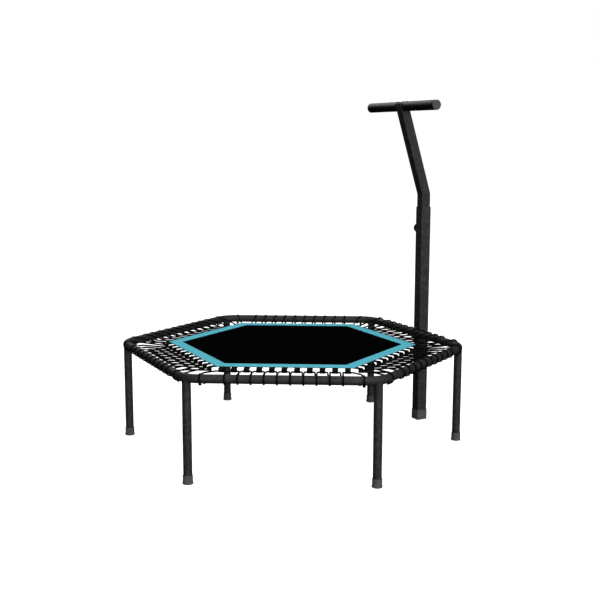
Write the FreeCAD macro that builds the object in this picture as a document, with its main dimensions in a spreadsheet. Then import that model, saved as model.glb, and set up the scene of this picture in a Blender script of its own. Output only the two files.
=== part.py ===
"""Hexagonal mini trampoline with a bungee-laced mat and a height-adjustable T-bar handle.

Millimetres, +Z up. The origin is on the floor under the middle of the hexagon, whose corners lie on +X
and every 60 degrees from there. Three local frames are used:
  corner frame: X runs out from the middle through a corner
  side frame:   X runs out from the middle square to a side, Y along the side, anticlockwise from above
  post frame:   the side frame of side 0, moved out to the middle of the handle's post
"""
import FreeCAD, Part
import math
import os

import Sketcher
from FreeCAD import Placement, Rotation, Vector

SIDES = range(6)
SIDE_AZIMUTH = 30.0  # of side 0, which carries the handle
UP = Vector(0, 0, 1)

DIMENSIONS = {
    # round tube frame
    "leg_circle": 620.0,  # from the middle to each leg's axis
    "corner_bend": 92.0,  # bend radius of a corner elbow's centreline
    "tube_od": 30.0,
    "tube_wall": 1.5,
    "frame_height": 357.0,  # of the tube's centreline
    "elbow_lead": 24.0,  # straight end of an elbow
    "spigot_od": 26.6,  # swaged end of a side tube
    "spigot_length": 22.0,
    "neck_length": 6.0,
    "screw_d": 5.0,
    "screw_head_d": 9.0,
    "screw_head": 1.6,
    "screw_length": 11.0,
    "screw_inset": 10.0,  # from an elbow's end
    # legs
    "stub_bottom": 317.0,  # where a leg meets its elbow
    "stub_d": 29.7,
    "plug_height": 20.0,
    "stud_d": 12.0,
    "stud_grip": 22.0,
    "foot_base": 4.0,
    "foot_height": 30.0,
    "foot_top_d": 33.6,
    "foot_bottom_d": 36.6,
    "foot_flare_top": 10.0,
    "foot_flare_bottom": 3.5,
    "foot_round": 1.2,
    # post
    "post_radius": 580.0,
    "post_side": 43.0,
    "post_wall": 2.0,
    "post_corner": 4.0,
    "post_top": 857.0,
    "post_foot_side": 47.0,
    "post_foot_height": 40.0,
    "u_bolt_d": 6.0,
    "u_bolt_tail": 10.6,  # past the post's outer face
    "washer_d": 12.0,
    "washer_thickness": 1.6,
    "nut_width": 10.0,
    "nut_height": 5.0,
    # handle
    "stem_side": 38.0,
    "stem_wall": 1.5,
    "stem_corner": 3.5,
    "stem_bottom": 527.0,
    "bend_height": 907.5,
    "stem_bend": 40.0,
    "lean": 17.7,  # degrees, towards the mat
    "bar_reach": 351.2,  # from the bend to the bar's axis
    "stem_over": 14.0,  # past the bar's axis
    "cap_flange": 1.2,
    "glide_flange": 4.0,
    "glide_side": 38.6,
    "glide_insert": 15.0,
    "bar_od": 25.4,
    "bar_wall": 1.5,
    "bar_length": 450.0,
    "grip_od": 37.0,
    "grip_gap": 41.0,
    "grip_round": 3.0,
    "bar_cap_thickness": 4.0,
    "bar_cap_insert": 13.5,
    # clamp knob
    "knob_height": 772.0,
    "clamp_stud_d": 8.0,
    "boss_d": 17.0,
    "boss_height": 4.0,
    "knob_d": 36.0,
    "knob_head": 13.0,
    "knob_hub": 3.5,
    "scallop_d": 12.0,
    "scallop_circle": 45.0,
    # mat
    "mat_apothem": 400.0,
    "mat_bottom": 362.0,
    "mat_thickness": 2.0,
    "border_width": 43.4,
    "border_thickness": 1.2,
    "tab_width": 20.0,
    "tab_pitch": 42.3,
    "tab_root": 387.0,
    "tab_thickness": 3.0,
    "loop_radius": 416.5,  # from the middle to the rope inside a tab
    "loop_height": 352.0,
    "loop_od": 9.4,
    # bungee rope
    "rope_d": 6.0,
    "rope_gap": 0.3,  # to the tube that it goes round
    "rope_bend": 6.0,
    "knot_d": 13.0,
    # clearances on the diameter
    "slip": 0.1,
    "loose": 0.4,
}
TABS = 11
ROUND_TAB = 16.8  # from a tab's middle to where the rope turns outwards
TURN_TO_TAB = (15.0, 27.3, 15.0, 15.0, 15.0, 15.0)  # for each side, from a turn to the next tab
POST_WRAP = 25.0  # from the post's middle plane to the rope on either side of it
TURN_STEPS = 6  # arcs in one turn round the tube

document = FreeCAD.newDocument("mini_trampoline")
sheet = document.addObject("Spreadsheet::Sheet", "Sheet")
for row, (alias, number) in enumerate(DIMENSIONS.items(), start=1):
    sheet.set(f"A{row}", alias)
    sheet.set(f"B{row}", str(number))
    sheet.setAlias(f"B{row}", alias)
document.recompute()


class Size:
    """A number together with the formula, in the sheet's cells, that gives it."""

    def __init__(self, value, formula):
        self.value = value
        self.formula = formula

    def __add__(self, other):
        other = as_size(other)
        return Size(self.value + other.value, f"({self.formula} + {other.formula})")

    def __sub__(self, other):
        other = as_size(other)
        return Size(self.value - other.value, f"({self.formula} - {other.formula})")

    def __mul__(self, other):
        other = as_size(other)
        return Size(self.value * other.value, f"({self.formula} * {other.formula})")

    def __truediv__(self, other):
        return Size(self.value / other, f"({self.formula} / {other})")

    def __neg__(self):
        return Size(-self.value, f"(-1 * {self.formula})")


def as_size(number):
    return number if isinstance(number, Size) else Size(float(number), f"({float(number)!r})")


def cell(alias):
    return Size(float(sheet.get(alias)), f"Sheet.{alias}")


def wave(kind, angle):
    """The sine, cosine or tangent of an angle in degrees."""
    return Size(getattr(math, kind)(math.radians(angle.value)), f"{kind}({angle.formula})")


(
    leg_circle, corner_bend, tube_od, tube_wall, frame_height, elbow_lead, spigot_od, spigot_length,
    neck_length, screw_d, screw_head_d, screw_head, screw_length, screw_inset, stub_bottom, stub_d, plug_height,
    stud_d, stud_grip, foot_base, foot_height, foot_top_d, foot_bottom_d, foot_flare_top,
    foot_flare_bottom, foot_round, post_radius, post_side, post_wall, post_corner, post_top,
    post_foot_side, post_foot_height, u_bolt_d, u_bolt_tail, washer_d, washer_thickness, nut_width,
    nut_height, stem_side, stem_wall, stem_corner, stem_bottom, bend_height, stem_bend, lean, bar_reach,
    stem_over, cap_flange, glide_flange, glide_side, glide_insert, bar_od, bar_wall, bar_length, grip_od,
    grip_gap, grip_round, bar_cap_thickness, bar_cap_insert, knob_height, clamp_stud_d, boss_d,
    boss_height, knob_d, knob_head, knob_hub, scallop_d, scallop_circle, mat_apothem, mat_bottom,
    mat_thickness, border_width, border_thickness, tab_width, tab_pitch, tab_root, tab_thickness,
    loop_radius, loop_height, loop_od, rope_d, rope_gap, rope_bend, knot_d, slip, loose,
) = [cell(alias) for alias in DIMENSIONS]

COS_30 = math.cos(math.radians(30))
TAN_30 = math.tan(math.radians(30))
sharp_corner = leg_circle + corner_bend * (1 / COS_30 - 1)
apothem = sharp_corner * COS_30
straight_half = sharp_corner / 2 - corner_bend * TAN_30
side_half = straight_half - elbow_lead
screw_along = side_half + screw_inset
u_bolt_half = (tube_od + u_bolt_d) / 2 + slip * 2
bend_start = bend_height - stem_bend * wave("tan", lean / 2)
bar_x = -(bar_reach * wave("sin", lean))
bar_z = bend_height + bar_reach * wave("cos", lean)
turn_radius = (tube_od + rope_d) / 2 + rope_gap


# ---------------------------------------------------------------- frames
def turned(degrees):
    return Placement(Vector(), Rotation(UP, degrees))


def side_frame(side):
    return turned(SIDE_AZIMUTH + 60 * side)


def corner_frame(corner):
    return turned(60 * corner)


def moved(x=0, y=0, z=0):
    return Placement(Vector(*(as_size(part).value for part in (x, y, z))), Rotation())


def axis_along_y():
    """Turns a local Z axis onto Y."""
    return Placement(Vector(), Rotation(Vector(1, 0, 0), -90))


post_frame = side_frame(0) * moved(x=post_radius)
bar_frame = post_frame * moved(x=bar_x, z=bar_z)
knob_frame = post_frame * moved(z=knob_height) * axis_along_y()


# ---------------------------------------------------------------- PartDesign
def body(label, place, several=False):
    made = document.addObject("PartDesign::Body", label)
    made.Label = label
    made.AllowCompound = several
    made.Placement = place
    return made


def origin_feature(owner, role):
    return next(feature for feature in owner.Origin.OriginFeatures if feature.Role == role)


def sketch(owner, plane, level=None):
    """A sketch on one of the body's own origin planes, raised along that plane's normal."""
    made = owner.newObject("Sketcher::SketchObject", f"{owner.Label}_sketch")
    made.AttachmentSupport = [(origin_feature(owner, plane), "")]
    made.MapMode = "FlatFace"
    if level is not None:
        made.setExpression(".AttachmentOffset.Base.z", as_size(level).formula)
    return made


def dimension(drawing, kind, where, size):
    index = drawing.addConstraint(Sketcher.Constraint(kind, *where, size.value))
    drawing.setExpression(f"Constraints[{index}]", size.formula)


def pin_point(drawing, geometry, end, x, y):
    """Holds a point at x, y; a plain 0 puts it on the sketch's own axis."""
    for kind, axis, size in (("DistanceX", -2, x), ("DistanceY", -1, y)):
        if isinstance(size, Size):
            dimension(drawing, kind, (-1, 1, geometry, end), size)
        else:
            drawing.addConstraint(Sketcher.Constraint("PointOnObject", geometry, end, axis))


def circle(drawing, diameter, x=0, y=0):
    centre = Vector(as_size(x).value, as_size(y).value, 0)
    index = drawing.addGeometry(Part.Circle(centre, UP, diameter.value / 2))
    dimension(drawing, "Diameter", (index,), diameter)
    pin_point(drawing, index, 3, x, y)


def outline(drawing, points):
    """A closed polygon."""
    places = [Vector(as_size(x).value, as_size(y).value, 0) for x, y in points]
    first = drawing.GeometryCount
    count = len(points)
    for i in range(count):
        drawing.addGeometry(Part.LineSegment(places[i], places[(i + 1) % count]))
    for i, (x, y) in enumerate(points):
        joint = (first + i, 2, first + (i + 1) % count, 1)
        drawing.addConstraint(Sketcher.Constraint("Coincident", *joint))
        pin_point(drawing, first + i, 1, x, y)


def rounded_square(drawing, side, corner):
    """A square about the sketch's origin with rounded corners."""
    half = side.value / 2
    straight = half - corner.value
    first = drawing.GeometryCount
    for quarter in range(4):
        turn = Rotation(UP, 90 * quarter)
        ends = [turn.multVec(Vector(half, y, 0)) for y in (-straight, straight)]
        drawing.addGeometry(Part.LineSegment(*ends))
        centre = turn.multVec(Vector(straight, straight, 0))
        start = math.radians(90 * quarter)
        arc = Part.ArcOfCircle(Part.Circle(centre, UP, corner.value), start, start + math.pi / 2)
        drawing.addGeometry(arc)
    for quarter in range(4):
        line, arc, following = (first + (2 * quarter + step) % 8 for step in range(3))
        drawing.addConstraint(Sketcher.Constraint("Tangent", line, 2, arc, 1))
        drawing.addConstraint(Sketcher.Constraint("Tangent", arc, 2, following, 1))
        dimension(drawing, "Radius", (arc,), corner)
        drawing.addConstraint(Sketcher.Constraint("Horizontal" if quarter % 2 else "Vertical", line))
        kind = "DistanceY" if quarter % 2 else "DistanceX"
        away = side / 2 if quarter in (0, 1) else -(side / 2)
        dimension(drawing, kind, (-1, 1, line, 1), away)


def pad(owner, drawing, length, backwards=False):
    made = owner.newObject("PartDesign::Pad", f"{owner.Label}_pad")
    made.Profile = drawing
    made.setExpression("Length", as_size(length).formula)
    made.Reversed = backwards
    document.recompute()
    return made


def pocket(owner, drawing, length, backwards=False):
    """Cuts against the sketch's normal, or along it if backwards, and has to remove something."""
    before = owner.Shape.Volume
    made = owner.newObject("PartDesign::Pocket", f"{owner.Label}_pocket")
    made.Profile = drawing
    made.setExpression("Length", as_size(length).formula)
    made.Reversed = backwards
    document.recompute()
    if owner.Shape.Volume > before - 1:
        raise ValueError(f"{made.Name} cuts nothing")
    return made


def revolve(owner, points):
    """A solid of revolution about the body's Z axis, from (radius, height) points."""
    drawing = sketch(owner, "XZ_Plane")
    outline(drawing, points)
    made = owner.newObject("PartDesign::Revolution", f"{owner.Label}_revolution")
    made.Profile = drawing
    made.ReferenceAxis = (drawing, ["V_Axis"])
    made.Angle = 360
    document.recompute()
    return made


def six_times(owner, features):
    pattern = owner.newObject("PartDesign::PolarPattern", f"{owner.Label}_pattern")
    pattern.Originals = features
    pattern.Axis = (origin_feature(owner, "Z_Axis"), [""])
    pattern.Angle = 360
    pattern.Occurrences = 6
    owner.Tip = pattern
    document.recompute()
    return pattern


def in_a_row(owner, features, axis, pitch, count):
    pattern = owner.newObject("PartDesign::LinearPattern", f"{owner.Label}_pattern")
    pattern.Originals = features
    pattern.Direction = (origin_feature(owner, axis), [""])
    pattern.setExpression("Length", (pitch * (count - 1)).formula)
    pattern.Occurrences = count
    owner.Tip = pattern
    document.recompute()
    return pattern


def ring(label, place, outer, inner, bottom, height):
    """A round tube or sleeve along the body's Z axis."""
    owner = body(label, place)
    drawing = sketch(owner, "XY_Plane", bottom)
    circle(drawing, outer)
    circle(drawing, inner)
    pad(owner, drawing, height)
    return owner


# ---------------------------------------------------------------- Part primitives
def cylinder(label, diameter, height, place):
    made = document.addObject("Part::Cylinder", label)
    made.setExpression("Radius", (diameter / 2).formula)
    made.setExpression("Height", as_size(height).formula)
    made.Placement = place
    return made


def torus(label, bend, diameter, degrees, place):
    made = document.addObject("Part::Torus", label)
    made.setExpression("Radius1", bend.formula)
    made.setExpression("Radius2", (diameter / 2).formula)
    made.Angle1 = -180
    made.Angle2 = 180
    made.Angle3 = degrees
    made.Placement = place
    return made


def fuse(label, shapes):
    made = document.addObject("Part::MultiFuse", label)
    made.Shapes = shapes
    return made


def cut(label, base, tool):
    made = document.addObject("Part::Cut", label)
    made.Base = base
    made.Tool = tool
    return made


# ---------------------------------------------------------------- frame
def elbow_run(label, diameter, overrun):
    """The bend of an elbow and its two straight ends, as one solid rod."""
    centre = moved(x=leg_circle - corner_bend, z=frame_height)
    pieces = [torus(f"{label}_bend", corner_bend, diameter, 60, centre * turned(-30))]
    for turn in (-1, 1):
        lay_down = Placement(Vector(), Rotation(Vector(1, 0, 0), -90 * turn))
        start = centre * turned(30 * turn) * moved(x=corner_bend) * lay_down
        pieces.append(cylinder(f"{label}_lead_{turn + 2}", diameter, elbow_lead + overrun, start))
    return fuse(label, pieces)


def corner_elbow(corner):
    """A bent tube with a stub welded under it, threaded for the leg's stud."""
    label = f"corner_elbow_{corner + 1}"
    rod = elbow_run(f"{label}_rod", tube_od, 0)
    stub_height = frame_height - stub_bottom
    stub = cylinder(f"{label}_stub", stub_d, stub_height, moved(x=leg_circle, z=stub_bottom))
    solid = fuse(f"{label}_solid", [rod, stub])
    tools = [elbow_run(f"{label}_bore", tube_od - tube_wall * 2, 1)]
    thread = stud_d + slip
    depth = stud_grip + 2
    tools.append(cylinder(f"{label}_thread", thread, depth, moved(x=leg_circle, z=stub_bottom)))
    for turn in (-1, 1):
        along = screw_along.value * turn
        place = side_frame(0).inverse() * side_frame(0 if turn < 0 else -1)
        hole = turned(SIDE_AZIMUTH) * place * moved(apothem, along, frame_height - tube_od)
        tools.append(cylinder(f"{label}_screw_{turn + 2}", screw_d + slip * 2, tube_od, hole))
    made = cut(label, solid, fuse(f"{label}_tools", tools))
    made.Placement = corner_frame(corner)
    return made


def side_tube(side):
    """A straight tube whose swaged ends push into the elbows, where screws hold them."""
    outer, inner = tube_od / 2, tube_od / 2 - tube_wall
    spigot, spigot_bore = spigot_od / 2, spigot_od / 2 - tube_wall
    tip = side_half + spigot_length
    neck = side_half - neck_length
    upper = [
        (outer, side_half), (spigot, side_half), (spigot, tip), (spigot_bore, tip),
        (spigot_bore, side_half - 1), (inner, neck),
    ]
    lower = [(radius, -height) for radius, height in reversed(upper)]
    place = side_frame(side) * moved(x=apothem, z=frame_height) * axis_along_y()
    made = body(f"side_tube_{side + 1}", place)
    revolve(made, upper + lower)
    holes = sketch(made, "XZ_Plane")
    for along in (screw_along, -screw_along):
        circle(holes, screw_d + slip * 2, y=along)
    pocket(made, holes, tube_od)
    return made


def frame_screws():
    """Two button-head screws from below in each side."""
    made = body("frame_screws", side_frame(0), several=True)
    seat = frame_height - tube_od / 2 - slip
    features = []
    for diameter, bottom, height in (
        (screw_head_d, seat - screw_head, screw_head),
        (screw_d, seat, screw_length),
    ):
        drawing = sketch(made, "XY_Plane", bottom)
        for along in (screw_along, -screw_along):
            circle(drawing, diameter, apothem, along)
        features.append(pad(made, drawing, height))
    six_times(made, features)
    return made


# ---------------------------------------------------------------- legs
def leg(corner):
    place = corner_frame(corner) * moved(x=leg_circle)
    length = stub_bottom - foot_base
    return ring(f"leg_{corner + 1}", place, tube_od, tube_od - tube_wall * 2, foot_base, length)


def foot(corner):
    """A rubber cap with a flared sole."""
    made = body(f"foot_{corner + 1}", corner_frame(corner) * moved(x=leg_circle))
    bore = (tube_od + slip * 2) / 2
    top, sole = foot_top_d / 2, foot_bottom_d / 2
    revolve(
        made,
        [
            (0, 0), (sole - foot_round, 0), (sole, foot_round), (sole, foot_flare_bottom),
            (top, foot_flare_top), (top, foot_height - foot_round / 2), (top - foot_round / 2, foot_height),
            (bore, foot_height), (bore, foot_base), (0, foot_base),
        ],
    )
    return made


def leg_fittings():
    """The threaded plug in the top of each leg, and the stud that screws into the elbow above it."""
    made = []
    bottom = stub_bottom - plug_height
    plug = tube_od - tube_wall * 2 - slip
    for label, circles, height in (
        ("leg_plugs", (plug, stud_d + slip), plug_height),
        ("leg_studs", (stud_d,), plug_height + stud_grip),
    ):
        fitting = body(label, Placement(), several=True)
        drawing = sketch(fitting, "XY_Plane", bottom)
        for diameter in circles:
            circle(drawing, diameter, x=leg_circle)
        six_times(fitting, [pad(fitting, drawing, height)])
        made.append(fitting)
    return made


# ---------------------------------------------------------------- post
def post():
    """Square tube, notched round the side tube and drilled for the U-bolt and the clamp screw."""
    made = body("handle_post", post_frame)
    drawing = sketch(made, "XY_Plane", foot_base)
    rounded_square(drawing, post_side, post_corner)
    rounded_square(drawing, post_side - post_wall * 2, post_corner - post_wall)
    pad(made, drawing, post_top - foot_base)
    notch = sketch(made, "XZ_Plane", post_side)
    circle(notch, tube_od + rope_gap * 2, apothem - post_radius, frame_height)
    pocket(made, notch, post_side * 2)
    bolts = sketch(made, "YZ_Plane", post_side)
    for height in (frame_height - u_bolt_half, frame_height + u_bolt_half):
        circle(bolts, u_bolt_d + loose, y=height)
    pocket(made, bolts, post_side * 2)
    clamp = sketch(made, "XZ_Plane")
    circle(clamp, clamp_stud_d + 1, y=knob_height)
    pocket(made, clamp, post_side)
    return made


def post_foot():
    made = body("post_foot", post_frame)
    drawing = sketch(made, "XY_Plane")
    rounded_square(drawing, post_foot_side, post_corner + (post_foot_side - post_side) / 2)
    pad(made, drawing, post_foot_height)
    cup = sketch(made, "XY_Plane", post_foot_height)
    rounded_square(cup, post_side + slip * 2, post_corner)
    pocket(made, cup, post_foot_height - foot_base)
    return made


def u_bolt():
    """A rod bent round the side tube, with both tails through the post."""
    label = "post_u_bolt"
    centre = moved(x=apothem - post_radius, z=frame_height)
    half_turn = centre * Placement(Vector(), Rotation(Vector(1, 0, 0), 90)) * turned(90)
    pieces = [torus(f"{label}_bow", u_bolt_half, u_bolt_d, 180, half_turn)]
    length = post_side / 2 + u_bolt_tail - (apothem - post_radius)
    for level in (-1, 1):
        tail = centre * moved(z=u_bolt_half * level) * Placement(Vector(), Rotation(Vector(0, 1, 0), 90))
        pieces.append(cylinder(f"{label}_tail_{level + 2}", u_bolt_d, length, tail))
    made = fuse(label, pieces)
    made.Placement = post_frame
    return made


def u_bolt_fastening():
    """A washer and a nut on each tail of the U-bolt."""
    levels = (frame_height - u_bolt_half, frame_height + u_bolt_half)
    washers = body("u_bolt_washers", post_frame, several=True)
    drawing = sketch(washers, "YZ_Plane", post_side / 2)
    for height in levels:
        circle(drawing, washer_d, y=height)
        circle(drawing, u_bolt_d + loose, y=height)
    pad(washers, drawing, washer_thickness)
    nuts = body("u_bolt_nuts", post_frame, several=True)
    drawing = sketch(nuts, "YZ_Plane", post_side / 2 + washer_thickness)
    corner = nut_width / 2 / COS_30
    for height in levels:
        points = []
        for step in SIDES:
            angle = math.radians(60 * step)
            points.append((corner * math.cos(angle), height + corner * math.sin(angle)))
        outline(drawing, points)
        circle(drawing, u_bolt_d + slip, y=height)
    pad(nuts, drawing, nut_height)
    return [washers, nuts]


# ---------------------------------------------------------------- handle
def stem():
    """Square tube that slides in the post, bent towards the mat, with a cross hole for the bar."""
    made = body("handle_stem", post_frame)
    spine = sketch(made, "XZ_Plane")
    arc_x = stem_bend * wave("cos", lean) - stem_bend
    arc_z = bend_start + stem_bend * wave("sin", lean)
    top_x = bar_x - stem_over * wave("sin", lean)
    top_z = bar_z + stem_over * wave("cos", lean)
    foot_point, bend_point = Vector(0, stem_bottom.value, 0), Vector(0, bend_start.value, 0)
    arc_point, top_point = (Vector(x.value, z.value, 0) for x, z in ((arc_x, arc_z), (top_x, top_z)))
    bow = Part.Circle(Vector(-stem_bend.value, bend_start.value, 0), UP, stem_bend.value)
    spine.addGeometry(Part.LineSegment(foot_point, bend_point))
    spine.addGeometry(Part.ArcOfCircle(bow, 0, math.radians(lean.value)))
    spine.addGeometry(Part.LineSegment(arc_point, top_point))
    pin_point(spine, 0, 1, 0, stem_bottom)
    pin_point(spine, 0, 2, 0, bend_start)
    pin_point(spine, 2, 1, arc_x, arc_z)
    pin_point(spine, 2, 2, top_x, top_z)
    spine.addConstraint(Sketcher.Constraint("Coincident", 0, 2, 1, 1))
    spine.addConstraint(Sketcher.Constraint("Coincident", 1, 2, 2, 1))
    dimension(spine, "Radius", (1,), stem_bend)
    section = sketch(made, "XY_Plane", stem_bottom)
    rounded_square(section, stem_side, stem_corner)
    rounded_square(section, stem_side - stem_wall * 2, stem_corner - stem_wall)
    document.recompute()
    pipe = made.newObject("PartDesign::AdditivePipe", "handle_stem_pipe")
    pipe.Profile = section
    pipe.Spine = (spine, ["Edge1", "Edge2", "Edge3"])
    document.recompute()
    hole = sketch(made, "XZ_Plane", stem_side)
    circle(hole, bar_od + slip * 2, bar_x, bar_z)
    pocket(made, hole, stem_side * 2)
    return made


def square_plug(label, place, flange_bottom, flange, thickness, insert, upwards):
    """A plastic plug: a flange as wide as the tube, and an insert that goes up or down into it."""
    made = body(label, place)
    corner = stem_corner - stem_wall
    bore = stem_side - stem_wall * 2 - slip * 2
    drawing = sketch(made, "XY_Plane", flange_bottom)
    rounded_square(drawing, flange, stem_corner)
    pad(made, drawing, thickness)
    level = flange_bottom + thickness if upwards else flange_bottom
    drawing = sketch(made, "XY_Plane", level)
    rounded_square(drawing, bore, corner)
    pad(made, drawing, insert, backwards=not upwards)
    return made


def stem_plugs():
    """The glide on the stem's lower end, inside the post, and the cap over the bar."""
    glide_bottom = stem_bottom - glide_flange
    glide = square_plug(
        "stem_glide", post_frame, glide_bottom, glide_side, glide_flange, glide_insert, upwards=True
    )
    leaning = bar_frame * Placement(Vector(), Rotation(Vector(0, 1, 0), -lean.value))
    cap = square_plug(
        "stem_top_cap", leaning, stem_over, stem_side, cap_flange, cap_flange, upwards=False
    )
    return [glide, cap]


def handlebar():
    """The cross tube, two foam grips and the caps in its ends."""
    lying = bar_frame * axis_along_y()
    tube = ring("t_bar", lying, bar_od, bar_od - bar_wall * 2, -(bar_length / 2), bar_length)
    near, far = grip_gap / 2, bar_length / 2 - slip
    bore, outer = (bar_od + slip * 2) / 2, grip_od / 2
    edge = grip_round / 3
    grips = []
    for label, turn in (("grip_left", 1), ("grip_right", -1)):
        grip = body(label, lying)
        points = [
            (bore, near), (outer - edge, near), (outer, near + edge), (outer, far - grip_round),
            (outer - edge, far - edge), (outer - grip_round, far), (bore, far),
        ]
        revolve(grip, [(radius, height * turn) for radius, height in points])
        grips.append(grip)
    caps = body("bar_end_caps", lying, several=True)
    inside = (bar_od - bar_wall * 2 - slip * 2) / 2
    start, end = bar_length / 2, bar_length / 2 + bar_cap_thickness
    tip = start - bar_cap_insert
    rim = outer - slip
    revolve(
        caps,
        [(0, tip), (inside, tip), (inside, start), (rim, start), (rim, end - edge), (rim - edge, end), (0, end)],
    )
    mirror = caps.newObject("PartDesign::Mirrored", "bar_end_caps_mirror")
    mirror.Originals = [caps.Tip]
    mirror.MirrorPlane = (origin_feature(caps, "XY_Plane"), [""])
    caps.Tip = mirror
    document.recompute()
    return [tube, *grips, caps]


# ---------------------------------------------------------------- clamp
def clamp():
    """A boss welded on the post's side, the screw through it, and the knob on the screw."""
    face = post_side / 2
    boss = ring("clamp_boss", knob_frame, boss_d, clamp_stud_d + slip, face, boss_height)
    radius = clamp_stud_d / 2
    tip = stem_side / 2 + slip
    knob_bottom = face + boss_height + 1
    head = knob_bottom + knob_hub
    top = head + knob_head
    stud_top = top - 3
    stud = body("clamp_stud", knob_frame)
    point = radius * 0.7
    revolve(stud, [(0, tip), (point, tip), (point, tip + 2), (radius, tip + 3), (radius, stud_top), (0, stud_top)])
    knob = body("clamp_knob", knob_frame)
    bore, hub, rim = radius + slip / 2, boss_d / 2, knob_d / 2
    revolve(
        knob,
        [
            (bore, knob_bottom), (hub, knob_bottom), (hub, head), (rim - 1.5, head), (rim, head + 2),
            (rim, top - 4), (rim - 1.5, top - 1.5), (rim - 5, top), (0, top), (0, stud_top + slip),
            (bore, stud_top + slip),
        ],
    )
    drawing = sketch(knob, "XY_Plane", head)
    circle(drawing, scallop_d, x=scallop_circle / 2)
    six_times(knob, [pocket(knob, drawing, knob_head, backwards=True)])
    return [boss, stud, knob]


# ---------------------------------------------------------------- mat
def jump_mat():
    made = body("jump_mat", Placement())
    drawing = sketch(made, "XY_Plane", mat_bottom)
    radius = mat_apothem / COS_30
    points = []
    for corner in SIDES:
        angle = math.radians(60 * corner)
        x, y = radius * math.cos(angle), radius * math.sin(angle)
        points.append((x, y if corner % 3 else 0))
    outline(drawing, points)
    pad(made, drawing, mat_thickness)
    return made


def mat_border():
    """Six coated-fabric strips on top of the mat's edge, mitred at the corners."""
    made = body("mat_border", side_frame(0), several=True)
    drawing = sketch(made, "XY_Plane", mat_bottom + mat_thickness)
    inner = mat_apothem - border_width
    points = []
    for distance, end in ((inner, -1), (mat_apothem, -1), (mat_apothem, 1), (inner, 1)):
        points.append((distance, (distance * TAN_30 - slip) * end))
    outline(drawing, points)
    six_times(made, [pad(made, drawing, border_thickness)])
    return made


def mat_tabs(side):
    """Webbing tabs sewn under the mat's edge, each hanging in a short loop round the rope."""
    made = body(f"mat_tabs_{side + 1}", side_frame(side), several=True)
    first = tab_pitch * (TABS - 1) / 2 + tab_width / 2
    top = mat_bottom - slip
    inner, outer = loop_radius - loop_od / 2, loop_radius + loop_od / 2
    wall = (loop_od - rope_d) / 4
    webbing = sketch(made, "XZ_Plane", first)
    outline(
        webbing,
        [
            (tab_root, top - tab_thickness), (inner, top - tab_thickness), (inner, loop_height),
            (inner + wall, loop_height), (loop_radius - wall * 3, loop_height + wall * 3),
            (loop_radius, loop_height + wall * 4.8), (loop_radius + wall * 3, loop_height + wall * 3),
            (outer - wall, loop_height), (outer, loop_height), (outer, top - 1.5), (outer - 1.5, top), (tab_root, top),
        ],
    )
    loop = sketch(made, "XZ_Plane", first)
    circle(loop, loop_od, loop_radius, loop_height)
    circle(loop, rope_d + loose, loop_radius, loop_height)
    features = [pad(made, drawing, tab_width, backwards=True) for drawing in (webbing, loop)]
    in_a_row(made, features, "Y_Axis", tab_pitch, TABS)
    return made


# ---------------------------------------------------------------- bungee rope
class Route:
    """Points of a rope in a side frame, with the radius that each corner is rounded to."""

    def __init__(self):
        self.points = []
        self.radii = []

    def add(self, x, y, z, radius=0.0):
        """A radius of None fills the corner: its arc meets the next one halfway."""
        self.points.append(Vector(x, y, z))
        self.radii.append(radius)

    def turn_round_tube(self, first_angle, last_angle, y, steps):
        """Corners of a polygon about the side tube, from one tangent point to another."""
        step = (last_angle - first_angle) / steps
        reach = turn_radius.value / math.cos(step / 2)
        for index in range(steps):
            share = (index + 0.5) / steps
            angle = first_angle + (last_angle - first_angle) * share
            x = apothem.value + reach * math.cos(angle)
            z = frame_height.value + reach * math.sin(angle)
            self.add(x, y, z, None)

    def wire(self):
        """Straight runs joined by tangent arcs, and the smallest arc's radius."""
        edges = []
        radii = []
        at = self.points[0]
        for before, here, after, radius in zip(self.points, self.points[1:], self.points[2:], self.radii[1:]):
            into, out = (here - before).normalize(), (after - here).normalize()
            half_turn = into.getAngle(out) / 2
            if radius is None:
                run = min((here - before).Length, (after - here).Length) / 2
                radius = 0.999 * run / math.tan(half_turn)
            cut_back = radius * math.tan(half_turn)
            inwards = (out - into).normalize()
            start, end = here - into * cut_back, here + out * cut_back
            middle = here + inwards * (radius / math.cos(half_turn) - radius)
            edges.append(Part.LineSegment(at, start).toShape())
            edges.append(Part.Arc(start, middle, end).toShape())
            radii.append(radius)
            at = end
        edges.append(Part.LineSegment(at, self.points[-1]).toShape())
        return Part.Wire(edges), min(radii)


def tangent_angles():
    """Where straight runs from a tab touch the rope's circle round the tube, above and below it."""
    x, z = loop_radius.value - apothem.value, loop_height.value - frame_height.value
    towards_tab = math.atan2(z, x) % (2 * math.pi)
    spread = math.acos(turn_radius.value / math.hypot(x, z))
    return towards_tab - spread, towards_tab + spread - 2 * math.pi


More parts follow.
